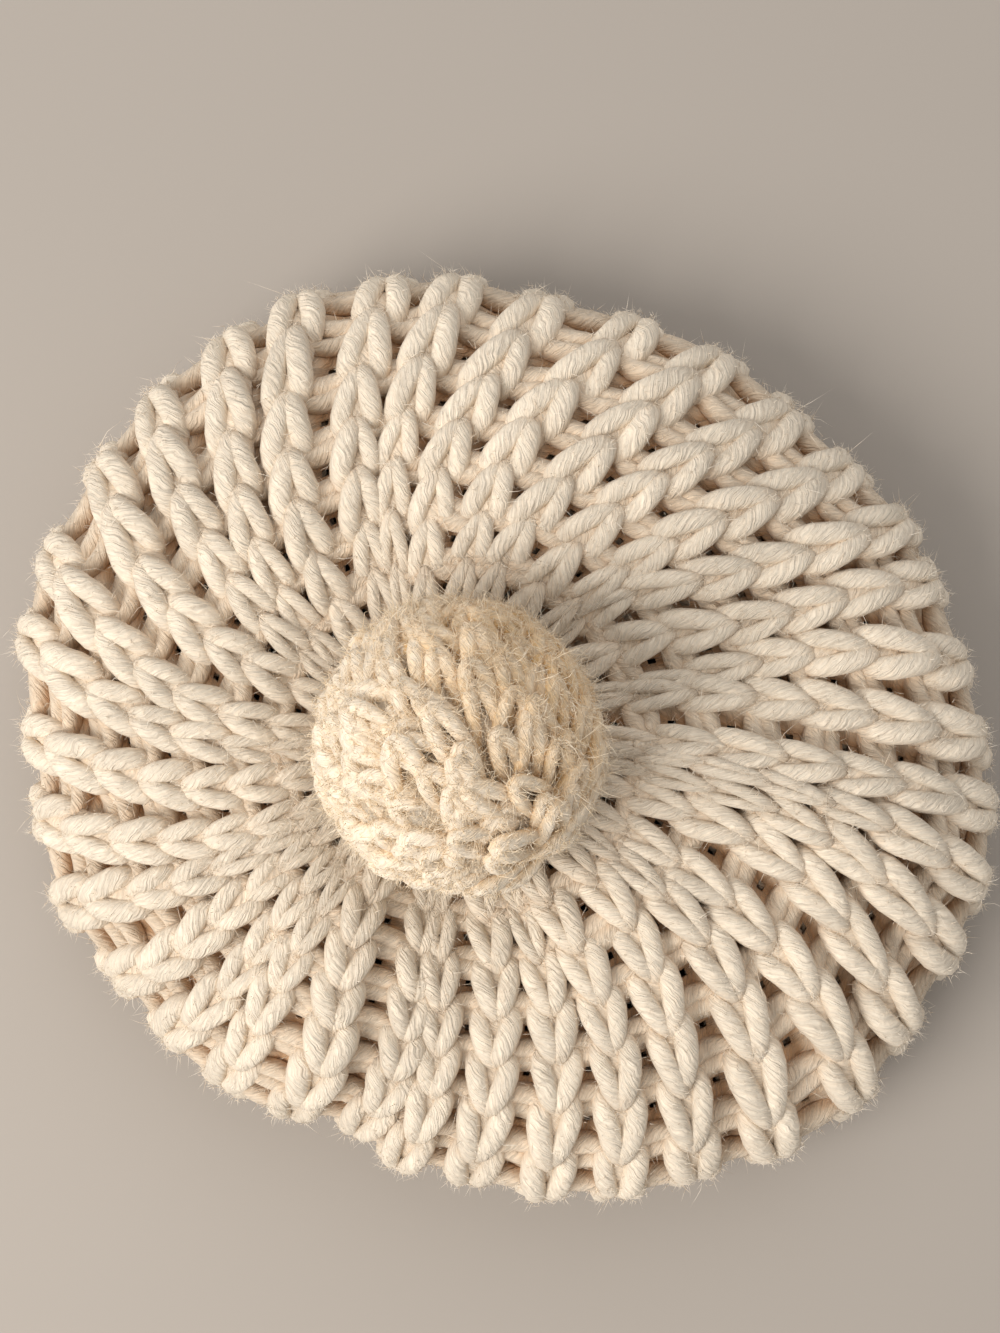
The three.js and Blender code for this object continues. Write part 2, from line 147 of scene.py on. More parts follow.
# %% [markdown]
# ## Smooth mixes
# A place on the fabric is (u, k): u counts ribs round the hat, and k counts rows from the eye over
# the rim to the head opening. Smooth curves mix the tables' rows between whole numbers.

# %% Curves through the rows of a table
BLUR = (-0.07, -0.035, 0, 0.035, 0.07)


def around(u, table):
    """Catmull-Rom mix of a table's rows round the hat: whole u is a rib's own row."""
    low = np.floor(u).astype(int)
    t = (u - low).reshape(u.shape + (1,) * (table.ndim - 1))
    rows = [table[(low + step) % RIB_COUNT] for step in (-1, 0, 1, 2)]
    return catmull_rom(rows, t)


def catmull_rom(rows, t):
    """A smooth curve through b, where t is 0, and c, where t is 1."""
    a, b, c, d = rows
    return 0.5 * (2 * b + (c - a) * t + (2 * a - 5 * b + 4 * c - d) * t**2
                  + (3 * b - a - 3 * c + d) * t**3)


def stop_weights(share, stops):
    """How much each stop counts at a share: tent functions, slightly blurred."""
    tents = np.eye(len(stops))
    return sum(
        np.stack([np.interp(share + shift, stops, tent) for tent in tents], axis=-1)
        for shift in BLUR
    ) / len(BLUR)


print("valley after rib 10:", around(np.array([10.5]), valley_depth))

# %% [markdown]
# ## One surface for everything
# fabric_point gives the point in space of a place (u, k), for whole arrays at once, which makes
# thousands of stitches quick. fabric_frame adds the directions across the rib and outwards.

# %% Point of the fabric at (u, k)
def top_points(u, share, height):
    """Way out: (1 - share) gather + share reach (cos angle, sin angle)."""
    twisted = EVEN_STEP * u + np.sum(around(u, drift) * stop_weights(share, RIB_STOPS), axis=-1)
    angle = np.radians(twisted + SWIRL * (1 - share))
    reach = RIM_RADIUS * around(u, RIBS[:, 4]) - RIB_RISE - YARN_HALF
    radius = share * (MEAN_REACH + (reach - MEAN_REACH) * share)
    fold = FOLD_RISE * np.sum(around(u, folds) * stop_weights(share, FOLD_STOPS), axis=-1)
    return np.stack([
        (1 - share) * GATHER[0] + radius * np.cos(angle),
        (1 - share) * GATHER[1] + radius * np.sin(angle),
        height * CROWN_TOP + fold,
    ], axis=-1)


def under_points(u, share, height):
    """Way in from the rim: the reach shrinks evenly to the round head opening."""
    rim = EVEN_STEP * u + around(u, drift[:, 3])
    angle = np.radians(rim + (BAND_START + EVEN_STEP * u - rim) * share)
    reach = RIM_RADIUS * around(u, RIBS[:, 4]) - RIB_RISE - YARN_HALF
    radius = reach + (OPENING_RADIUS - reach) * share
    return np.stack([
        radius * np.cos(angle), radius * np.sin(angle), height * CROWN_TOP + 0 * u,
    ], axis=-1)


def fabric_point(u, k):
    """Catmull-Rom curve through the rows' points, at row k of the fabric."""
    u, k = np.broadcast_arrays(np.asarray(u, float), np.clip(k, 0, LAST_ROW))
    wide = np.repeat(u[..., None], len(TOP_ROWS), axis=-1)
    top = top_points(wide, TOP_ROWS[:, 0], TOP_ROWS[:, 1])
    under = under_points(wide[..., :len(UNDER_ROWS)], UNDER_ROWS[:, 0], UNDER_ROWS[:, 1])
    rows = np.concatenate([top, under], axis=-2)
    low = np.minimum(np.floor(k).astype(int), LAST_ROW - 1)
    picked = [
        np.take_along_axis(rows, np.clip(low + s, 0, LAST_ROW)[..., None, None], -2)[..., 0, :]
        for s in (-1, 0, 1, 2)
    ]
    return catmull_rom(picked, (k - low)[..., None])


def unit(vectors):
    """Each vector divided by its own length."""
    return vectors / np.maximum(np.linalg.norm(vectors, axis=-1, keepdims=True), 1e-9)


def fabric_frame(u, k):
    """Point, direction across the rib, and normal away from the inside of the hat."""
    across = unit(fabric_point(u + 0.3, k) - fabric_point(u - 0.3, k))
    along = unit(fabric_point(u, k + 0.12) - fabric_point(u, k - 0.12))
    normal = unit(np.cross(along, across))
    return fabric_point(u, k), across, normal


print("rib 0 at the rim, mm:", fabric_point(np.zeros(1), RIM_ROW).round(1))

# %% [markdown]
# ## Counting stitches
# A stitch of this wool is about 14 mm high. The holes of the solids fix three rounds of stitches,
# and the others follow at even steps along the fabric.

# %% Row k of a stitch count q
STITCH_HIGH = 14.0
EYELET_ROUNDS = (10.5, 8.5, 6.5)
fine_k = np.linspace(0, LAST_ROW, 400)
ribs = np.arange(RIB_COUNT) * 1.0
lines = fabric_point(ribs[:, None], fine_k[None, :])
fine_arc = np.concatenate([[0], np.cumsum(
    np.linalg.norm(np.diff(lines, axis=1), axis=-1).mean(axis=0))])
round_arcs = np.interp(EYELET_ROUNDS, fine_k, fine_arc)
steps_out = np.arange(5, 0, -1)
steps_in = np.arange(1, 9)
q_knots = np.concatenate([0.5 - steps_out, [0.5, 1.5, 2.5], 2.5 + steps_in])
arc_knots = np.concatenate([
    round_arcs[0] + STITCH_HIGH * steps_out, round_arcs, round_arcs[2] - STITCH_HIGH * steps_in,
])


def row_of_stitch(q):
    """Stitch count q, from the rim inwards, to row k by way of arc length."""
    return np.interp(np.interp(q, q_knots, arc_knots), fine_arc, fine_k)


q_edge = float(np.interp(-fine_arc[-1], -arc_knots, q_knots))
q_eye = float(np.interp(-fine_arc[0], -arc_knots, q_knots))
print("stitches, opening to eye:", round(q_edge, 2), "to", round(q_eye, 2))

# %% [markdown]
# ## How wide and how deep a rib is
# All 36 ribs meet at the pompom. So a rib's width follows the step to the next rib, and its depth
# fades towards the gather.

# %% Width and depth of a rib at (u, k)
FULL_WIDTH = 12.8
WIDEST = 13.1
row_share = np.concatenate([TOP_ROWS[:, 0] / FULL_RIB_AT, [1, 1, 1, 0.9, 0.4]])


def rib_depth(k):
    """1 from FULL_RIB_AT outwards, shallower to the gather, and 0.4 at the opening."""
    return np.interp(k, np.arange(LAST_ROW + 1), np.clip(row_share, 0.12, 1))


def rib_width(u, k):
    """The least of WIDEST, 5.3 + 0.35 pitch and 0.8 pitch + 0.4."""
    pitch = np.linalg.norm(fabric_point(u + 0.5, k) - fabric_point(u - 0.5, k), axis=-1)
    return np.minimum(np.minimum(WIDEST, 5.3 + 0.35 * pitch), 0.8 * pitch + 0.4)


print("rib width by the rim, mm:", rib_width(ribs, np.full(RIB_COUNT, 11.0)).mean().round(1))

# %% [markdown]
# ## From strands to meshes
# A strand is an oval section carried along a path. One pattern of faces serves all strands of a
# kind: quads between the rings, and a fan of triangles that closes each end.

# %% Faces of one strand
def cell_corners(i, j, i_next, j_next):
    """The four corners of each cell of a grid, as steps in i and steps in j."""
    return np.stack([i, i_next, i_next, i], axis=1), np.stack([j, j, j_next, j_next], axis=1)


def tube_pattern(rings, sides):
    """Point, ring and share of the turn at each corner, and the sizes of the faces."""
    i, j = np.divmod(np.arange((rings - 1) * sides), sides)
    quad_rings, quad_steps = cell_corners(i, j, i + 1, j + 1)
    j = np.arange(sides)
    first = np.zeros(sides, int)
    start_fan = np.stack([first - 1, first, first], axis=1)
    end_fan = np.stack([first + rings, first + rings - 1, first + rings - 1], axis=1)
    corner_rings = np.concatenate([quad_rings.ravel(), start_fan.ravel(), end_fan.ravel()])
    corner_steps = np.concatenate([
        quad_steps.ravel(),
        np.stack([j + 0.5, j, j + 1], axis=1).ravel(),
        np.stack([j + 0.5, j + 1, j], axis=1).ravel(),
    ])
    vertex = corner_rings * sides + corner_steps.astype(int) % sides
    vertex = np.where(corner_rings < 0, rings * sides, vertex)
    vertex = np.where(corner_rings >= rings, rings * sides + 1, vertex)
    sizes = np.concatenate([np.full(len(i), 4), np.full(2 * sides, 3)])
    return vertex, np.clip(corner_rings, 0, rings - 1), corner_steps / sides, sizes


print("faces of a strand with 9 rings of 8 sides:", len(tube_pattern(9, 8)[3]))

# %% [markdown]
# ## Many strands at once
# The UV map runs along a strand in mm and round it from 0 to 1. Two attributes give each point its
# painted shade, which grows with how deep the point lies, and the strand's tone. A shape is a
# dictionary of such arrays.

# %% Points, UV map and attributes of strands
# Painted shade added to every strand: less on its top, more on its sides and underside, and more
# at its tips, where it dives under its neighbours.
SKIN_SHADE = 0.3
TIP_SHADE = 0.2


def strands(centres, up, half_wide, half_high, sides, depth, tone):
    """Ring point = centre + side half_wide cos(a) + top half_high sin(a)."""
    count, rings = centres.shape[:2]
    along = unit(np.gradient(centres, axis=1))
    side = unit(np.cross(along, up))
    top = np.cross(side, along)
    steps = np.linalg.norm(np.diff(centres, axis=1), axis=-1)
    length = np.concatenate([np.zeros((count, 1)), np.cumsum(steps, axis=1)], axis=1)
    angle = TURN * np.arange(sides) / sides - TURN / 4
    wide = (np.broadcast_to(half_wide, (count, rings))[..., None] * np.cos(angle))[..., None]
    high = (np.broadcast_to(half_high, (count, rings))[..., None] * np.sin(angle))[..., None]
    shell = centres[:, :, None] + side[:, :, None] * wide + top[:, :, None] * high
    tips = np.stack([centres[:, 0], centres[:, -1]], axis=1)
    points = np.concatenate([shell.reshape(count, -1, 3), tips], axis=1)
    ring_depth = np.broadcast_to(depth, (count, rings))
    skin_depth = ring_depth[..., None] + SKIN_SHADE * (0.6 - np.sin(angle))
    tip_depth = ring_depth[:, [0, -1]] + TIP_SHADE
    depths = np.concatenate([skin_depth.reshape(count, -1), tip_depth], axis=1)
    vertex, corner_ring, corner_step, sizes = tube_pattern(rings, sides)
    per_strand = points.shape[1]
    corners = vertex[None] + per_strand * np.arange(count)[:, None]
    uv = np.stack([length[:, corner_ring], np.broadcast_to(corner_step, corners.shape)], axis=-1)
    outward = unit(shell - centres[:, :, None]).reshape(count, -1, 3)
    ends = np.stack([-along[:, 0], along[:, -1]], axis=1)
    return {
        "points": points.reshape(-1, 3),
        "outward": np.concatenate([outward, ends], axis=1).reshape(-1, 3),
        "upward": np.tile(np.concatenate([np.tile(np.sin(angle), rings), [0, 0]]), count),
        "corners": corners.ravel(),
        "sizes": np.tile(sizes, count),
        "uv": uv.reshape(-1, 2),
        "depth": np.clip(depths, 0, 1).ravel(),
        "tone": np.repeat(np.broadcast_to(tone, (count,)), per_strand),
    }


def join(parts):
    """Several shapes as one, corners counted on from shape to shape."""
    starts = np.cumsum([0] + [len(part["points"]) for part in parts[:-1]])
    joined = {
        key: np.concatenate([part[key] for part in parts])
        for key in parts[0] if key != "corners"
    }
    joined["corners"] = np.concatenate(
        [part["corners"] + start for part, start in zip(parts, starts)])
    return joined


print("depth added at sides and tips:", SKIN_SHADE, TIP_SHADE)

# %% [markdown]
# ## From arrays to an object
# foreach_set hands whole arrays to Blender.

# %% Make a mesh object
def add_object(name, data):
    """A new object of the scene, at the origin."""
    thing = bpy.data.objects.new(name, data)
    bpy.context.scene.collection.objects.link(thing)
    return thing


def make_piece(name, shape, node, material):
    """A mesh object that rides on the frame and stands for one of its nodes."""
    mesh = bpy.data.meshes.new(name)
    mesh.vertices.add(len(shape["points"]))
    mesh.vertices.foreach_set("co", (shape["points"] * MM).astype(np.float32).ravel())
    mesh.loops.add(len(shape["corners"]))
    mesh.loops.foreach_set("vertex_index", shape["corners"].astype(np.int32))
    mesh.polygons.add(len(shape["sizes"]))
    starts = np.cumsum(shape["sizes"]) - shape["sizes"]
    mesh.polygons.foreach_set("loop_start", starts.astype(np.int32))
    mesh.polygons.foreach_set("use_smooth", np.ones(len(starts), bool))
    mesh.update(calc_edges=True)
    mesh.uv_layers.new(name="yarn").data.foreach_set("uv", shape["uv"].astype(np.float32).ravel())
    for key in ("depth", "tone"):
        values = shape[key].astype(np.float32)
        mesh.attributes.new(key, "FLOAT", "POINT").data.foreach_set("value", values)
    mesh.validate()
    mesh.materials.append(material)
    piece = add_object(name, mesh)
    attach(piece, "root")
    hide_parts(node)
    print(name, "has", len(mesh.polygons), "faces")
    return piece


# %% [markdown]
# ## Arithmetic with nodes
# These helpers keep a tree of nodes readable. An input may be another node's output or a number.

# %% Helpers for arithmetic
def new_material(name, surface):
    """A node material with a surface's values, its tree, and its Principled shader."""
    material = bpy.data.materials.new(name)
    material.use_nodes = True
    shader = material.node_tree.nodes["Principled BSDF"]
    for key, value in surface.items():
        shader.inputs[key].default_value = value
    return material, material.node_tree, shader


def feed(tree, socket, value):
    """Link a socket to another one, or give it a number or a colour."""
    if isinstance(value, bpy.types.NodeSocket):
        tree.links.new(value, socket)
    elif isinstance(value, (int, float)):
        socket.default_value = value
    else:
        socket.default_value = (*value, 1)


def link_math(tree, operation, a, b=None, clamp=False):
    """A Math node over two inputs, each one a socket or a number."""
    node = tree.nodes.new("ShaderNodeMath")
    node.operation = operation
    node.use_clamp = clamp
    for socket, value in zip(node.inputs, (a, b)):
        if value is not None:
            feed(tree, socket, value)
    return node.outputs[0]


def times(tree, a, b, clamp=False):
    """a times b."""
    return link_math(tree, "MULTIPLY", a, b, clamp)


def weighted_sum(tree, start, *terms):
    """start + the sum of each socket times its weight."""
    total = start
    for socket, weight in terms:
        total = link_math(tree, "ADD", times(tree, socket, weight), total)
    return total


print("materials so far:", len(bpy.data.materials))

# %% [markdown]
# ## Colours, noise and attributes
# Four more helpers mix colours, make noise, fetch an attribute and join three numbers.

# %% Helpers for colours and places
def mix_colour(tree, share, first, second, blend="MIX"):
    """Mix of two colours by a share from 0 to 1."""
    node = tree.nodes.new("ShaderNodeMix")
    node.data_type = "RGBA"
    node.blend_type = blend
    for number, value in zip((0, 6, 7), (share, first, second)):
        feed(tree, node.inputs[number], value)
    return node.outputs[2]


def noise(tree, vector, scale, detail=2.0):
    """Noise from 0 to 1 at a place."""
    node = tree.nodes.new("ShaderNodeTexNoise")
    node.inputs["Scale"].default_value = scale
    node.inputs["Detail"].default_value = detail
    tree.links.new(vector, node.inputs["Vector"])
    return node.outputs["Fac"]


def attribute(tree, name):
    """The value of a point attribute."""
    node = tree.nodes.new("ShaderNodeAttribute")
    node.attribute_name = name
    return node.outputs["Fac"]


def combine(tree, kind, values):
    """Three sockets as one vector or one colour."""
    node = tree.nodes.new(kind)
    for socket, value in zip(node.inputs, values):
        tree.links.new(value, socket)
    return node.outputs[0]


print("materials still:", len(bpy.data.materials))

# %% [markdown]
# ## The wool
# The plies of the yarn wind slantwise round the strand. They are drawn from the UV map, so they
# follow every bend. Painted shade warms the wool to tan where little light gets in: in deep places
# and in the grooves between the plies.

# %% Wool material
PLIES = 8
TURNS_PER_MM = 0.42
WOBBLE = 2.4
WOBBLE_SCALE = 140.0
FIBRE_SCALE = 1.6
FELT_SCALE = 420.0
PATCH_SCALE = 22.0
# Share of painted shade in the grooves between the plies.
GROOVE_SHADE = 0.17
WOOL_SURFACE = {
    "Roughness": 0.92, "Sheen Weight": 0.5, "Sheen Roughness": 0.5,
    "Sheen Tint": (1, 0.92, 0.8, 1), "Specular IOR Level": 0.15,
}


def yarn_twist(tree, place, tone):
    """Plies: sin(TURN phase), phase = PLIES v - TURNS_PER_MM u + WOBBLE noise.

    Fibres: noise that is drawn out along the plies.
    """
    uv = tree.nodes.new("ShaderNodeUVMap")
    uv.uv_map = "yarn"
    split = tree.nodes.new("ShaderNodeSeparateXYZ")
    tree.links.new(uv.outputs["UV"], split.inputs[0])
    along, around_it = split.outputs[0], split.outputs[1]
    turns = link_math(tree, "SUBTRACT", times(tree, around_it, PLIES),
                      times(tree, along, TURNS_PER_MM))
    phase = weighted_sum(tree, turns, (noise(tree, place, WOBBLE_SCALE), WOBBLE))
    wave = link_math(tree, "SINE", times(tree, phase, TURN))
    ply = weighted_sum(tree, 0.5, (wave, 0.5))
    drawn_out = combine(tree, "ShaderNodeCombineXYZ", [
        times(tree, phase, 2.6), times(tree, along, 0.14), times(tree, tone, 40),
    ])
    return ply, noise(tree, drawn_out, FIBRE_SCALE, 3)


def colour_by_depth(tree, crest, shade_tan, crevice_shade, depth, felt):
    """Painted shade: the crest's colour turns to the middle shade colour as the shade grows, and
    then to the darkest shade colour.
    """
    # Felt patches, a real random tone, add to the painted shade.
    patchy = times(tree, link_math(tree, "SUBTRACT", felt, 0.5), 0.5)
    shade_and_felt = link_math(tree, "ADD", depth, patchy, True)
    shade_share = times(tree, shade_and_felt, 1.5, True)
    inner = times(tree, link_math(tree, "SUBTRACT", shade_and_felt, 0.6, True), 2.2, True)
    return mix_colour(tree, inner, mix_colour(tree, shade_share, crest, shade_tan), crevice_shade)


def wool(name, crest, shade_tan, crevice_shade, ply_share=1.0):
    """Painted shade by how far in a point lies, painted shade between the plies, times a grey of
    fibres and patches.
    """
    material, tree, shader = new_material(name, WOOL_SURFACE)
    place = tree.nodes.new("ShaderNodeTexCoord").outputs["Object"]
    tone = attribute(tree, "tone")
    ply, fibres = yarn_twist(tree, place, tone)
    felt = noise(tree, place, FELT_SCALE, 3)
    patches = noise(tree, place, PATCH_SCALE, 1)
    base = colour_by_depth(tree, crest, shade_tan, crevice_shade, attribute(tree, "depth"), felt)
    low_ply = link_math(tree, "SUBTRACT", 1, ply)
    # Painted shade in tan in the grooves between the plies.
    base = mix_colour(tree, times(tree, low_ply, GROOVE_SHADE * ply_share), base, shade_tan)
    level = weighted_sum(tree, 0.36, (fibres, 0.8), (patches, 0.25), (tone, 0.1))
    grey = combine(tree, "ShaderNodeCombineColor", [level] * 3)
    base = mix_colour(tree, 1.0, base, grey, "MULTIPLY")
    tree.links.new(base, shader.inputs["Base Color"])
    bump = tree.nodes.new("ShaderNodeBump")
    bump.inputs["Strength"].default_value = 0.8
    bump.inputs["Distance"].default_value = 0.0009
    height = weighted_sum(tree, 0.0, (ply, 0.22 * ply_share), (fibres, 1.1), (felt, 0.7))
    tree.links.new(height, bump.inputs["Height"])
    tree.links.new(bump.outputs[0], shader.inputs["Normal"])
    return material


print("one ply returns after", round(1 / TURNS_PER_MM, 1), "mm of yarn")

# %% [markdown]
# ## Colours of the yarns
# Each yarn has a colour for its crest, and painted shade colours for its middle depth and its
# crevices. The pompom's shade colours are the most ochre, as in the photograph. Loose fibres need
# no twist, only a tone.

# %% Wool of each part
def loose_fibre(name, bright, warm):
    """One colour for each fibre, mixed by its tone and by large patches."""
    surface = {"Roughness": 0.8, "Specular IOR Level": 0.2}
    material, tree, shader = new_material(name, surface)
    place = tree.nodes.new("ShaderNodeTexCoord").outputs["Object"]
    share = times(tree, attribute(tree, "tone"), noise(tree, place, 60.0))
    tree.links.new(mix_colour(tree, share, bright, warm), shader.inputs["Base Color"])
    return material


# Colours: crest; painted shade in the middle depth; painted shade in the crevices.
crown_wool = wool("crown_yarn", (0.9, 0.79, 0.64), (0.76, 0.58, 0.41), (0.68, 0.41, 0.22))
band_wool = wool("band_yarn", (0.9, 0.77, 0.59), (0.68, 0.48, 0.3), (0.42, 0.24, 0.12))
pompom_wool = wool("pompom_yarn", (1, 0.87, 0.7), (0.9, 0.59, 0.27), (0.66, 0.4, 0.15), 0.2)
tie_wool = wool("tie_yarn", (0.88, 0.76, 0.58), (0.66, 0.48, 0.3), (0.4, 0.23, 0.12))
loose_wool = loose_fibre("loose_fibre", (0.97, 0.88, 0.75), (0.86, 0.7, 0.52))
pompom_loose = loose_fibre("pompom_fibre", (1, 0.88, 0.71), (0.94, 0.7, 0.4))
print("materials:", [material.name for material in bpy.data.materials])

# %% [markdown]
# ## V stitches on the ribs
# A knit stitch shows two plump legs. They come up out of the stitch below, spread, and dive behind
# the stitch above. The V points to the rim, because the hat was knitted from its band upwards.

# %% Legs of the V stitches
LEG_T = np.array([0, 0.05, 0.16, 0.32, 0.48, 0.64, 0.8, 0.93, 1])
LEG_TAPER = np.array([0.4, 0.68, 0.88, 1, 1.02, 1.03, 1, 0.84, 0.5])
LEG_SPREAD = np.interp(LEG_T, [0, 0.15, 0.4, 0.65, 0.85, 1], [0.2, 1.2, 3.3, 4.8, 5.1, 4.4])
LEG_HEIGHT = np.interp(LEG_T, [0, 0.15, 0.4, 0.75, 1], [-1.6, -0.1, 0.6, -0.9, -4.0])
# Painted shade along a leg: most where it comes up out of the stitch below and where it dives
# behind the stitch above.
LEG_DEPTH = np.interp(LEG_T, [0, 0.15, 0.35, 0.7, 0.9, 1], [0.5, 0.2, 0, 0, 0.25, 0.6])
LEG_START = -0.12
LEG_OVERLAP = 1.34
LEG_FLATNESS = 0.86
WANDER = 0.035
SWELL = 0.5
# Stitches of one rib start a little before or after those of the next.
slip = rng.uniform(-0.2, 0.2, RIB_COUNT)
wander = rng.uniform(0, TURN, (RIB_COUNT, 2))


def every(*lists):
    """Every combination of the lists' values, as flat arrays."""
    return [grid.ravel() for grid in np.meshgrid(*lists, indexing="ij")]


def stitch_legs(u_list, q_list, lift, facing, sides, half_width):
    """Leg centre = fabric + across spread(t) + normal (lift + height(t)), t from 0 to 1.

    The row is that of q + LEG_START + LEG_OVERLAP t. Each rib wanders sideways and swells along
    its length, by slow sines of q.
    """
    rib, q, hand = every(u_list, q_list, [-1.0, 1.0])
    count = len(rib)
    row = np.round(rib).astype(int) % RIB_COUNT
    moved = q + slip[row] + rng.normal(0, 0.03, count)
    k = row_of_stitch(moved[:, None] + LEG_START + LEG_OVERLAP * LEG_T)
    u = rib[:, None] + WANDER * np.sin(1.1 * q + wander[row, 0])[:, None] + 0 * k
    swell = SWELL * np.sin(1.7 * q + wander[row, 1])[:, None]
    point, across, normal = fabric_frame(u, k)
    fit = rib_width(u, k) / FULL_WIDTH
    plump = rng.normal(1, 0.05, (count, 1))
    spread = hand[:, None] * LEG_SPREAD * fit * rng.normal(1, 0.06, (count, 1))
    rise = lift(u, k) + swell + LEG_HEIGHT * fit + rng.normal(0, 0.25, (count, 1))
    centres = point + across * spread[..., None] + normal * (facing * rise)[..., None]
    size = half_width * plump * LEG_TAPER * np.clip(fit, 0.46, 1.2)
    # Painted shade on the legs, more on the rows next to the eye under the pompom.
    depth = LEG_DEPTH + np.interp(k, [1, 4], [0.3, 0])
    tone = rng.uniform(0, 1, count)
    return strands(centres, facing * normal, size, size * LEG_FLATNESS, sides, depth, tone)


def rib_lift(u, k):
    """How high the ribs stand on the fabric."""
    return RIB_RISE * rib_depth(k)


top_rounds = np.arange(math.ceil(q_edge), math.floor(q_eye) - 0.5)
crown_legs = stitch_legs(ribs, top_rounds, rib_lift, facing=1, sides=8, half_width=3.5)
make_piece("crown_ribs", crown_legs, "crown", crown_wool)

# %% [markdown]
# ## The felted middle of each rib
# One strand of matted wool under each rib keeps the gaps between the legs shallow.

# %% Rib cores
CORE_SINK = 2.5
CORE_HALF_HIGH = 2.5
CORE_WIDTH = 0.44
CORE_RINGS = 70


def rib_cores():
    """Core centre = fabric + normal (height of the rib - CORE_SINK)."""
    q = np.linspace(q_edge + 0.1, q_eye - 0.3, CORE_RINGS)
    k = np.broadcast_to(row_of_stitch(q), (RIB_COUNT, CORE_RINGS))
    u = np.broadcast_to(ribs[:, None], k.shape)
    point, across, normal = fabric_frame(u, k)
    centres = point + normal * (rib_lift(u, k) - CORE_SINK)[..., None]
    half_wide = CORE_WIDTH * rib_width(u, k)
    tone = rng.uniform(0, 1, RIB_COUNT)
    # The cores carry painted shade, as they lie low between the legs.
    return strands(centres, normal, half_wide, CORE_HALF_HIGH, 8, 0.4, tone)


make_piece("crown_rib_cores", rib_cores(), "crown", crown_wool)

# %% [markdown]
# ## Ladders in the valleys
# Between two ribs lies a ladder: two soft strands to each stitch, with a small dark hole under
# each pair. The strands sag towards the inside of the hat.

# %% Rungs of the ladders
RUNG_T = np.array([0, 0.08, 0.3, 0.5, 0.7, 0.92, 1])
RUNG_TAPER = np.array([0.5, 0.8, 1, 1.04, 1, 0.8, 0.5])
RUNG_REACH = 0.38
RUNG_RADIUS = 3.1
BACK_RISE = 1.8


def valley_floor(u, k):
    """Depth of the rungs: the solid's valley, raised by 2.6, and by 4.8 at the rim."""
    sunk = RIB_SINK * around(np.floor(u), valley_depth) * rib_depth(k)
    return sunk - 2.6 * rib_depth(k) - 2.2 * np.clip((k - 8.5) / 3, 0, 1)


def valley_rungs(q_list):
    """Rung centre = fabric at u + RUNG_REACH (2t - 1), with the sag of a cosine."""
    rib, q, pair = every(ribs, q_list, [-1.0, 1.0])
    count = len(rib)
    sway = 2 * RUNG_T - 1
    u = rib[:, None] + 0.5 + RUNG_REACH * sway
    bow = 0.13 - 0.03 * sway**2 + rng.normal(0, 0.015, (count, 1))
    tilt = rng.normal(0, 0.05, (count, 1)) * sway
    k = row_of_stitch(q[:, None] + 1 + pair[:, None] * bow + tilt)
    point, across, normal = fabric_frame(u, k)
    sag = np.cos(TURN / 4 * sway) ** 1.5
    rise = BACK_RISE * (1 - sag) * rib_depth(k) - valley_floor(u, k) * sag
    centres = point + normal * (rise + rng.normal(0, 0.2, (count, 1)))[..., None]
    size = RUNG_RADIUS * RUNG_TAPER * rng.normal(1, 0.06, (count, 1))
    # Painted shade on the rungs, more where they rise to meet the ribs.
    depth = 0.42 + 0.2 * (1 - sag)
    return strands(centres, normal, size, size, 6, depth, rng.uniform(0, 1, count))


crown_rungs = valley_rungs(top_rounds)
make_piece("crown_rungs", crown_rungs, "crown", crown_wool)

# %% [markdown]
# ## The fabric behind the stitches
# One sheet behind the stitches closes all gaps but the holes, one for each stitch of each valley.
# Solidify gives it the thickness of a felted strand. Its valleys carry painted shade, dark brown
# round the holes.

# %% Backing sheet with eyelets
BACK_U = np.array([0, 0.24, 0.45, 0.55, 0.76])
HOLE_COLUMN = 2
HOLE_FROM = 0.43
HOLE_TO = 0.57
SHEET_THICK = 1.8
back_u = (ribs[:, None] + BACK_U).ravel()
back_rounds = np.arange(math.ceil(q_edge), math.floor(q_eye) + 1.0)
back_q = (back_rounds[:, None] + [HOLE_FROM, HOLE_TO]).ravel()
back_q = np.concatenate([[q_edge], back_q[back_q < q_eye], [q_eye]])


def back_rise(u, k):
    """BACK_RISE up under a rib, just behind the rungs in a valley, a cosine between."""
    wave = 0.5 + 0.5 * np.cos(TURN * u)
    return wave * BACK_RISE * rib_depth(k) - (1 - wave) * (valley_floor(u, k) + BACK_RISE)


def backing_sheet():
    """Grid of fabric points at (u, q) moved by back_rise, closed round in u."""
    u, q = np.meshgrid(back_u, back_q, indexing="ij")
    k = row_of_stitch(q)
    point, across, normal = fabric_frame(u, k)
    columns, rows = u.shape
    i, j = np.divmod(np.arange(columns * (rows - 1)), rows - 1)
    starts_hole = np.round(np.mod(back_q[j], 1), 2) == HOLE_FROM
    kept = ~((i % len(BACK_U) == HOLE_COLUMN) & starts_hole)
    i, j = i[kept], j[kept]
    corner_i, corner_j = cell_corners(i, j, (i + 1) % columns, j + 1)
    uv_i, uv_j = cell_corners(i, j, i + 1, j + 1)
    in_valley = np.abs(np.mod(u, 1) - 0.5) < 0.2
    return {
        "points": (point + normal * back_rise(u, k)[..., None]).reshape(-1, 3),
        "corners": (corner_i * rows + corner_j).ravel(), "sizes": np.full(len(i), 4),
        "uv": np.stack([uv_i * 3.0, uv_j * 0.37], axis=-1).reshape(-1, 2),
        # Painted shade: the valleys of the sheet, round the holes, are shaded to dark brown.
        "depth": 0.45 + 0.65 * in_valley.ravel(), "tone": np.full(u.size, 0.5),
    }


backing = make_piece("crown_backing", backing_sheet(), "crown", crown_wool)
solidify = backing.modifiers.new("thickness", "SOLIDIFY")
solidify.thickness = SHEET_THICK * MM
solidify.offset = -1

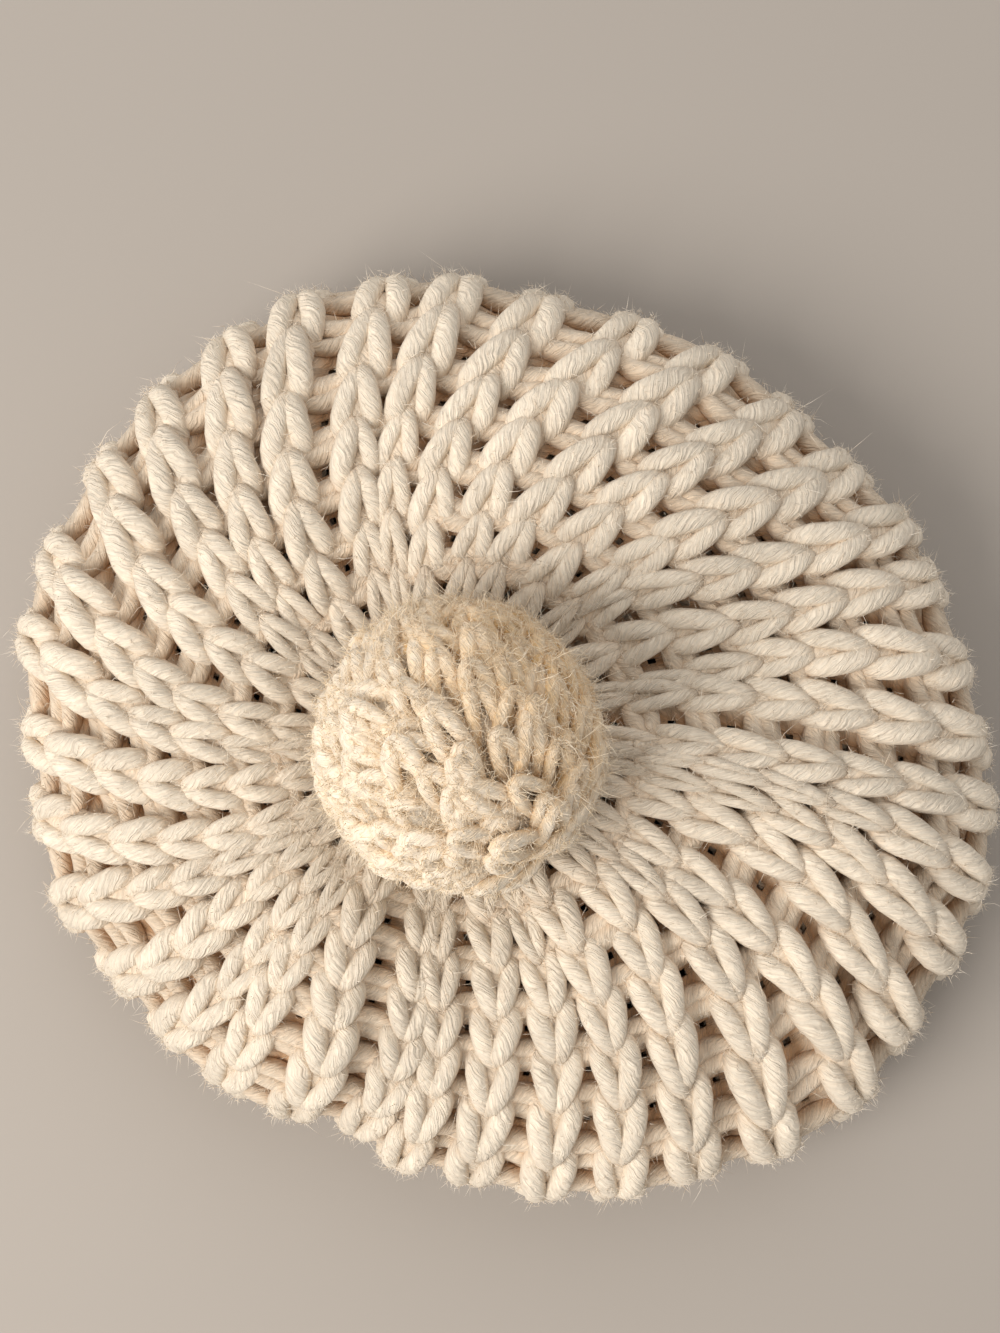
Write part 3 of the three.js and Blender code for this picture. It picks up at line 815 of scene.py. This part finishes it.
# %% [markdown]
# ## Ribs on the inside of the crown
# A valley of one side is a rib of the other. So the same legs are laid once more, half a rib
# further on and facing inwards.

# %% Inner ribs
def inner_lift(u, k):
    """How far the inner ribs stand inside the fabric."""
    return RIB_SINK * rib_depth(k) + 3.0


inner_rounds = top_rounds[top_rounds > 0]
inner_legs = stitch_legs(
    ribs + 0.5, inner_rounds, inner_lift, facing=-1, sides=5, half_width=3.0)
make_piece("crown_inside", inner_legs, "crown", crown_wool)

# %% [markdown]
# ## Ribs of the headband
# The photograph hides the band. It gets the same 1x1 rib, tighter and doubled: ribs on its outer
# face, and again on its inner face, half a rib further on.

# %% Stitches of the headband
BAND_LOW = 2.4
BAND_ROUND = 12.0
BAND_INNER = 75.0


def band_frame(angle, z, radius):
    """Point on a drum, and the directions round it and out of it."""
    outward = np.stack([np.cos(angle), np.sin(angle), 0 * angle], axis=-1)
    across = np.stack([-np.sin(angle), np.cos(angle), 0 * angle], axis=-1)
    point = outward * np.asarray(radius)[..., None]
    point[..., 2] = z
    return point, across, outward


def band_legs(shift, radius, facing, half_width):
    """The crown's legs on a drum: z = BAND_LOW + BAND_ROUND (0.92 round + 1.02 t)."""
    rib, level, hand = every(ribs + shift, [0, 1], [-1.0, 1.0])
    count = len(rib)
    angle = np.radians(BAND_START + EVEN_STEP * rib)[:, None] + 0 * LEG_T
    z = BAND_LOW + BAND_ROUND * (level[:, None] * 0.92 + 1.02 * LEG_T)
    z = z + rng.normal(0, 0.25, (count, 1))
    rise = radius + facing * LEG_HEIGHT * 0.8
    point, across, outward = band_frame(angle, z, rise)
    centres = point + across * (hand[:, None] * LEG_SPREAD * 0.95)[..., None]
    size = half_width * LEG_TAPER * rng.normal(1, 0.04, (count, 1))
    tone = rng.uniform(0, 1, count)
    return strands(centres, facing * outward, size, size * 0.9, 8, LEG_DEPTH, tone)


outer_band = band_legs(0.0, radius=BAND_OUTER - 2.7, facing=1, half_width=2.9)
inner_band = band_legs(0.5, radius=BAND_INNER + 2.4, facing=-1, half_width=2.6)
print("points of the outer band:", len(outer_band["points"]))

# %% [markdown]
# ## Edge and wall of the headband
# The cast-on is made of short slanted strands that wrap under the edge. A closed wall stands
# behind all stitches.

# %% Headband
BAND_SECTION = np.array([
    [82.2, 4], [82.2, 24], [80, 25.6], [77, 25.6], [76.4, 24], [76.4, 4], [79.3, 2.4],
])
SECTION_WAVES = np.array([1, 1, 0, 0, 1, 1, 0])
BAND_COLUMNS = 144
EDGE_T = np.linspace(0, 1, 8)
EDGE_TAPER = np.array([0.5, 0.8, 1, 1, 1, 1, 0.8, 0.5])


def cast_on_edge():
    """Strands in a half round under the edge, from face to face."""
    count = 2 * RIB_COUNT
    turn = np.pi * EDGE_T
    radius = (BAND_OUTER + BAND_INNER) / 2 + 2.7 * np.cos(turn) + np.zeros((count, 1))
    z = 4.6 - 1.9 * np.sin(turn) + np.zeros((count, 1))
    angle = np.radians(EVEN_STEP / 2 * np.arange(count))[:, None] + 0.05 * EDGE_T
    point, across, outward = band_frame(angle, z, radius)
    up = np.array([0, 0, -1]) + 0.3 * outward
    tone = rng.uniform(0, 1, count)
    # The cast-on strands carry a little painted shade.
    return strands(point, up, 2.9 * EDGE_TAPER, 2.3 * EDGE_TAPER, 8, 0.15, tone)


def band_wall():
    """The section carried round the drum; its upright sides wave with the ribs."""
    angle = TURN * np.arange(BAND_COLUMNS) / BAND_COLUMNS
    rib_wave = 0.7 * np.cos(RIB_COUNT * (angle - np.radians(BAND_START)))[:, None]
    radius = BAND_SECTION[:, 0] - 0.6 + rib_wave * SECTION_WAVES
    z = BAND_SECTION[:, 1] + 0 * radius
    point, across, outward = band_frame(angle[:, None] + 0 * radius, z, radius)
    rows = len(BAND_SECTION)
    i, j = np.divmod(np.arange(BAND_COLUMNS * rows), rows)
    corner_i, corner_j = cell_corners(i, j, (i + 1) % BAND_COLUMNS, (j + 1) % rows)
    uv_i, uv_j = cell_corners(i, j, i + 1, j + 1)
    return {
        "points": point.reshape(-1, 3), "corners": (corner_i * rows + corner_j).ravel(),
        "sizes": np.full(len(i), 4),
        "uv": np.stack([uv_i * 3.6, uv_j / rows], axis=-1).reshape(-1, 2),
        # Painted shade on the wall, which stands behind the stitches.
        "depth": np.full(radius.size, 0.7), "tone": np.full(radius.size, 0.5),
    }


band_shape = join([band_wall(), outer_band, inner_band, cast_on_edge()])
make_piece("headband_rib", band_shape, "headband", band_wool)

# %% [markdown]
# ## Where the pompom's loops sit
# The pompom is rubbed short on its lower left, with longer loops on the top and right. A spiral
# spreads places over the ball, chance shakes them, and each one gets its wear.

# %% Places on the pompom
LOOP_PLACES = 230
LOWEST_PLACE = -0.6
RUBBED_SIDE = np.array([-0.75, -0.6, -0.15])
WORN_FROM = 0.12


def even_directions(count, lowest):
    """Spiral of points spread evenly on a ball above a height."""
    z = 1 - (np.arange(count) + 0.5) * (1 - lowest) / count
    angle = math.pi * (1 + 5**0.5) * np.arange(count)
    flat = np.sqrt(1 - z**2)
    return np.stack([flat * np.cos(angle), flat * np.sin(angle), z], axis=-1)


places = even_directions(LOOP_PLACES, LOWEST_PLACE) + rng.normal(0, 0.04, (LOOP_PLACES, 3))
places = unit(places)
wear = places @ unit(RUBBED_SIDE) + rng.normal(0, 0.12, LOOP_PLACES)
print("long and worn loops:", np.sum(wear < WORN_FROM), np.sum(wear > WORN_FROM))

# %% [markdown]
# ## The pompom's core
# Under the loops lies a bumpy ball of matted wool: quads, and a fan of triangles at each pole.

# %% Core of the pompom
POMPOM_CENTRE = np.array([-13.3, -4.5, 70.5])
POMPOM_SIZE = np.array([35.2, 35.2, 29])
BALL_SIZE = 0.96
BALL_COLUMNS = 120
BALL_ROWS = 60
BUMPS = 260
BUMP_SPREAD = 0.009


def pompom_core():
    """Radius = size (BALL_SIZE + the highest of many scattered bells)."""
    angle = TURN * np.arange(BALL_COLUMNS) / BALL_COLUMNS
    tilt = np.pi * (np.arange(BALL_ROWS) + 0.5) / BALL_ROWS - np.pi / 2
    a, b = np.meshgrid(angle, tilt, indexing="ij")
    ball = np.stack([np.cos(b) * np.cos(a), np.cos(b) * np.sin(a), np.sin(b)], axis=-1)
    ball = np.concatenate([ball.reshape(-1, 3), [[0, 0, -1], [0, 0, 1]]])
    bumps = unit(even_directions(BUMPS, -1) + rng.normal(0, 0.06, (BUMPS, 3)))
    bells = np.exp(-(1 - ball @ bumps.T) / BUMP_SPREAD) * rng.uniform(0.01, 0.05, BUMPS)
    size = BALL_SIZE + bells.max(axis=1)
    i, j = np.divmod(np.arange(BALL_COLUMNS * (BALL_ROWS - 1)), BALL_ROWS - 1)
    corner_i, corner_j = cell_corners(i, j, (i + 1) % BALL_COLUMNS, j + 1)
    first = np.arange(BALL_COLUMNS) * BALL_ROWS
    following = np.roll(first, -1)
    last = BALL_ROWS - 1
    pole = np.full(BALL_COLUMNS, BALL_COLUMNS * BALL_ROWS)
    south = np.stack([pole, following, first], axis=1)
    north = np.stack([pole + 1, first + last, following + last], axis=1)
    corners = np.concatenate([
        (corner_i * BALL_ROWS + corner_j).ravel(), south.ravel(), north.ravel(),
    ])
    return {
        "points": POMPOM_CENTRE + ball * size[:, None] * POMPOM_SIZE, "corners": corners,
        "sizes": np.concatenate([np.full(len(i), 4), np.full(2 * BALL_COLUMNS, 3)]),
        "uv": (ball[:, :2] * 30)[corners], "outward": ball,
        # Painted shade in the low places between the bumps, where the loops leave gaps.
        "depth": np.clip(0.45 - 11 * (size - BALL_SIZE), 0, 1),
        "tone": np.full(len(ball), 0.5),
    }


core_shape = pompom_core()
print("points of the pompom's core:", len(core_shape["points"]))

# %% [markdown]
# ## The pompom's loops
# Each loop is a hairpin of yarn whose ends sink into the core. Worn loops are shorter, plumper and
# lower. Painted shade warms the side away from the light to ochre, and shades the feet of the
# loops where they sink in.

# %% Loops of the pompom
SHADED_SIDE = np.array([0.7, 0.6, 0.2])
HAIRPIN_T = np.linspace(0, 1, 12)


def lay_direction(ball):
    """Way the loops point: to the upper left, but straight up by the top edge."""
    angle = np.radians(125 - 35 * ball[:, 1] - 25 * ball[:, 0] + rng.normal(0, 15, len(ball)))
    heading = np.stack([np.cos(angle), np.sin(angle), 0 * angle], axis=-1)
    return unit(heading - ball * np.sum(heading * ball, axis=-1, keepdims=True))


def pompom_loops(ball, length, strand, raised):
    """Seat + lay length sin(pi t) + side width cos(pi t) + outward (lift - drop)."""
    count = len(ball)
    lay = lay_direction(ball)
    aside = np.cross(ball, lay)
    t = HAIRPIN_T
    reach = np.sin(np.pi * t) ** 0.8 * rng.uniform(0.8, 1.2, (count, 1)) * length
    width = np.cos(np.pi * t) * rng.uniform(0.8, 1.4, (count, 1)) * strand * 1.25
    curl = np.sin(np.pi * t) * rng.normal(0, 0.08, (count, 1)) * length
    lift = np.interp(t, [0, 0.22, 0.5, 0.78, 1], [-3, 0.9, 1.5, 0.9, -3])
    lift = lift + raised + rng.uniform(-0.8, 1.0, (count, 1))
    seat = POMPOM_CENTRE + ball * POMPOM_SIZE
    ahead = reach - 0.45 * length
    centres = (seat[:, None] + lay[:, None] * ahead[..., None]
               + aside[:, None] * (width + curl)[..., None] + ball[:, None] * lift[..., None])
    drop = np.maximum(np.abs(ahead) ** 2 / 64 - 0.2, 0)
    centres = centres - ball[:, None] * drop[..., None]
    taper = np.interp(t, [0, 0.1, 0.25, 0.75, 0.9, 1], [0.5, 0.8, 1, 1, 0.8, 0.5])
    size = strand * taper * rng.normal(1, 0.12, (count, 1))
    # Painted shade: the side away from the light, and the feet of each loop by the core.
    shaded = 0.5 * np.clip(ball @ unit(SHADED_SIDE), 0, 1)
    depth = np.clip(0.45 - 0.6 * reach / length, 0, 1) + shaded[:, None]
    normal = np.broadcast_to(ball[:, None], centres.shape)
    return strands(centres, normal, size, size * 0.9, 6, depth, rng.uniform(0, 1, count))


loop_shape = pompom_loops(places[wear < WORN_FROM], length=19, strand=2.35, raised=0.4)
worn_shape = pompom_loops(places[wear > WORN_FROM], length=13, strand=2.7, raised=-2.2)
pompom_shape = join([core_shape, loop_shape, worn_shape])
make_piece("pompom_yarn", pompom_shape, "pompom", pompom_wool)

# %% [markdown]
# ## The tie
# The pompom's tie runs down through the eye to a knot inside. It never shows: two strands that
# twist round each other, and a coil for the knot.

# %% Tie and knot
KNOT_HIGH = 9
COIL_T = np.linspace(0, 1, 40)
tie_low, tie_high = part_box("pompom_tie")
tie_low, tie_high = np.array(tie_low) / MM, np.array(tie_high) / MM
tie_middle = (tie_low + tie_high) / 2


def coil(turns, radius, z_from, z_to, strand, start):
    """Helix: middle + radius (cos, sin) and z from one height to the other."""
    t = COIL_T
    angle = start + TURN * turns * t
    path = np.stack([
        tie_middle[0] + radius * np.cos(angle), tie_middle[1] + radius * np.sin(angle),
        z_from + (z_to - z_from) * t,
    ], axis=-1)[None]
    out = np.stack([np.cos(angle), np.sin(angle), 0 * t], axis=-1)[None]
    taper = np.clip(np.minimum(t, 1 - t) * 12 + 0.4, 0, 1)
    # A little painted shade on the tie.
    return strands(path, out, strand * taper, strand * taper, 8, 0.25, 0.5)


foot, top = tie_low[2], tie_high[2]
post = [
    coil(turns=1.5, radius=1.6, z_from=foot + 3, z_to=top - 1, strand=1.7, start=start)
    for start in (0.0, np.pi)
]
knot_to = foot + KNOT_HIGH - 1.5
knot = coil(turns=2.6, radius=5.2, z_from=foot + 2.4, z_to=knot_to, strand=2.3, start=0.6)
tie_shape = join([*post, knot])
make_piece("pompom_tie_yarn", tie_shape, "pompom_tie", tie_wool)

# %% [markdown]
# ## Loose fibres
# A halo of loose fibres softens every edge. The long ones have a bend, and the short ones are
# straight, of four triangles, because there are so many of them.

# %% Needles and spikes
NEEDLE = np.array([0, 1, 2, 0, 3, 4, 1, 1, 4, 5, 2, 2, 5, 3, 0, 6, 4, 3, 6, 5, 4, 6, 3, 5])
NEEDLE_SIZES = [3, 4, 4, 4, 3, 3, 3]
NEEDLE_REACH = np.array([0, 0, 0, 0.5, 0.5, 0.5, 1])
SPIKE = np.array([0, 1, 2, 0, 3, 1, 1, 3, 2, 2, 3, 0])
SPIKE_SIZES = [3, 3, 3, 3]
SPIKE_REACH = np.array([0, 0, 0, 1])


def root_ring(root, tip, radius):
    """Steps from the root of each fibre to the three corners round it."""
    along = unit(tip - root)
    side = unit(np.cross(along, [0.3, 0.5, 0.8]))
    top = np.cross(side, along)
    angle = (TURN * np.arange(3) / 3)[:, None]
    return (side[:, None] * np.cos(angle) + top[:, None] * np.sin(angle)) * radius


def fibre_shape(rings, root, tip, pattern, sizes, reach, tone):
    """All fibres of one pattern, its corners counted on from fibre to fibre."""
    points = np.concatenate([*rings, tip[:, None]], axis=1)
    count, per_fibre = points.shape[:2]
    corners = pattern[None] + per_fibre * np.arange(count)[:, None]
    along = reach[pattern] * np.linalg.norm(tip - root, axis=-1)[:, None]
    uv = np.stack([along, np.broadcast_to(pattern % 3 / 3, along.shape)], axis=-1)
    return {
        "points": points.reshape(-1, 3), "corners": corners.ravel(),
        "sizes": np.tile(sizes, count), "uv": uv.reshape(-1, 2),
        "depth": np.zeros(count * per_fibre), "tone": np.repeat(tone, per_fibre),
    }


def needles(root, middle, tip, radius, tone):
    """Three-sided fibres: a ring at the root, a ring at the bend, and a point."""
    ring = root_ring(root, tip, radius)
    rings = [root[:, None] + ring, middle[:, None] + 0.8 * ring]
    return fibre_shape(rings, root, tip, NEEDLE, NEEDLE_SIZES, NEEDLE_REACH, tone)


def spikes(root, tip, radius, tone):
    """Straight three-sided fibres: a ring at the root and a point."""
    rings = [root[:, None] + root_ring(root, tip, radius)]
    return fibre_shape(rings, root, tip, SPIKE, SPIKE_SIZES, SPIKE_REACH, tone)


print("faces of a needle and of a spike:", len(NEEDLE_SIZES), len(SPIKE_SIZES))

# %% [markdown]
# ## Where fibres grow
# Fibres start at random points, more of them where the surface looks up or out at the rim. Lengths
# follow a gamma distribution: fibres of one size would look like bristles.

# %% Fluff, fuzz and their chances
def seats(shape, chance, count):
    """Random points of a shape, and the direction out of it there."""
    picked = rng.choice(len(chance), count, p=chance / chance.sum())
    return shape["points"][picked], shape["outward"][picked]


def fluff(shape, chance, count, length, radius, flat):
    """Short straight fibres: direction = outward + random part of size flat."""
    seat, out = seats(shape, chance, count)
    heading = unit(out + rng.normal(0, flat, (count, 3)))
    heading = unit(heading + out * np.clip(-np.sum(heading * out, axis=-1, keepdims=True), 0, 1))
    root = seat - out * 0.3 + rng.normal(0, 0.6, (count, 3))
    long = rng.gamma(4.0, length / 4, (count, 1))
    return spikes(root, root + heading * long, radius, rng.uniform(0, 1, count))


def fuzz(shape, chance, count, length, radius, lean):
    """Fibre = seat + length (direction s + bend s^2)."""
    seat, out = seats(shape, chance, count)
    heading = unit(out * rng.uniform(0.15, 1, (count, 1)) + rng.normal(0, lean, (count, 3)))
    bend = rng.normal(0, 0.4, (count, 3)) - 0.2 * out
    long = rng.gamma(3.0, length / 3, (count, 1))
    root = seat - out * 0.4 + rng.normal(0, 0.5, (count, 3))
    middle = root + long * (0.5 * heading + 0.25 * bend)
    tip = root + long * (heading + bend)
    return needles(root, middle, tip, radius, rng.uniform(0, 1, count))


RIM_BELOW = 40


def showing(shape):
    """Chance of a fibre: none in crevices or underneath, more round the rim."""
    points, outward = shape["points"], shape["outward"]
    radial = unit(points * [1, 1, 0])
    rim = np.clip(np.sum(outward * radial, axis=-1), 0, 1) * (points[:, 2] < RIM_BELOW)
    up = np.clip(outward[:, 2], 0.03, 1)
    bare = (shape["upward"] > -0.3) & (shape["depth"] < 0.7)
    return (up + 2 * rim) * bare


crown_chance = showing(crown_legs)
pompom_chance = np.clip(core_shape["outward"] @ unit(np.array([-0.75, -0.6, 0.3])) + 0.5, 0.1, 1.2)
print("share of points with fibres:", (crown_chance > 0).mean().round(2))

# %% [markdown]
# ## The halo
# Each call makes one set of fibres. Most are 2 to 3 mm long and a fifth of a millimetre thick.

# %% Fibres on the crown and on the pompom
crown_halo = {
    "crown_fluff": fluff(crown_legs, crown_chance, 46000, length=2.2, radius=0.09, flat=1.2),
    "crown_fuzz": fuzz(crown_legs, crown_chance, 8000, length=3.0, radius=0.08, lean=0.9),
    "rung_fluff": fluff(crown_rungs, showing(crown_rungs), 16000, 2.4, radius=0.1, flat=1.2),
}
for name, shape in crown_halo.items():
    make_piece(name, shape, "crown", loose_wool)
pompom_fluff = join([
    fluff(core_shape, pompom_chance, count=20000, length=2.4, radius=0.11, flat=1.6),
    fluff(worn_shape, showing(worn_shape), count=10000, length=2.4, radius=0.11, flat=1.6),
])
make_piece("pompom_fluff", pompom_fluff, "pompom", pompom_loose)
loop_chance = showing(loop_shape)
pompom_fuzz = join([
    fluff(loop_shape, loop_chance, count=12000, length=2.4, radius=0.1, flat=1.2),
    fuzz(loop_shape, loop_chance, count=4000, length=4.2, radius=0.09, lean=0.8),
])
make_piece("pompom_fuzz", pompom_fuzz, "pompom", pompom_loose)

# %% Floor
FLOOR_HALF = 3
FLOOR_SURFACE = {"Base Color": (0.41, 0.365, 0.32, 1), "Roughness": 0.8}
signs = [(-1, -1), (1, -1), (1, 1), (-1, 1)]
floor_corners = [(x * FLOOR_HALF, y * FLOOR_HALF, 0) for x, y in signs]
floor_mesh = bpy.data.meshes.new("studio_floor")
floor_mesh.from_pydata(floor_corners, [], [(0, 1, 2, 3)])
floor = add_object("studio_floor", floor_mesh)
floor_mesh.materials.append(new_material("studio_floor", FLOOR_SURFACE)[0])
print("floor, m:", floor.dimensions[:])

# %% [markdown]
# ## Light and camera
# A large soft light stands on the left as in the photograph, and a weak one fills in from the far
# side. The camera looks down from almost straight above.

# %% Lights, world and camera
ELEVATION = math.radians(88.3)
DISTANCE = 0.45
TARGET = (-0.0021, 0.0183, 0.023)
LENS = 42.1
LIGHT_TARGET = (0, 0, 0.03)


def aim(thing, target):
    """Turn a light or camera towards a point."""
    direction = Vector(target) - thing.location
    thing.rotation_euler = direction.to_track_quat("-Z", "Y").to_euler()


def soft_light(name, place, size, power, colour):
    """A round area light that looks at the hat."""
    light = bpy.data.lights.new(name, "AREA")
    light.shape = "DISK"
    light.size = size
    light.energy = power
    light.color = colour
    thing = add_object(name, light)
    thing.location = place
    aim(thing, LIGHT_TARGET)


soft_light("window_light", (-0.9, -0.45, 0.9), size=0.9, power=16.8, colour=(1, 0.965, 0.925))
soft_light("fill_light", (0.1, 1.0, 1.1), size=1.2, power=5, colour=(0.97, 0.98, 1))

world = bpy.data.worlds.new("studio")
world.use_nodes = True
background = world.node_tree.nodes["Background"]
background.inputs["Color"].default_value = (1, 0.98, 0.96, 1)
background.inputs["Strength"].default_value = 0.48
bpy.context.scene.world = world

camera_data = bpy.data.cameras.new("photo_camera")
camera_data.lens = LENS
camera = add_object("photo_camera", camera_data)
back, up = DISTANCE * math.cos(ELEVATION), DISTANCE * math.sin(ELEVATION)
camera.location = (TARGET[0], TARGET[1] - back, TARGET[2] + up)
aim(camera, TARGET)
bpy.context.scene.camera = camera
bpy.context.scene.view_settings.view_transform = "Standard"
print("camera, m:", [round(value, 4) for value in camera.location])
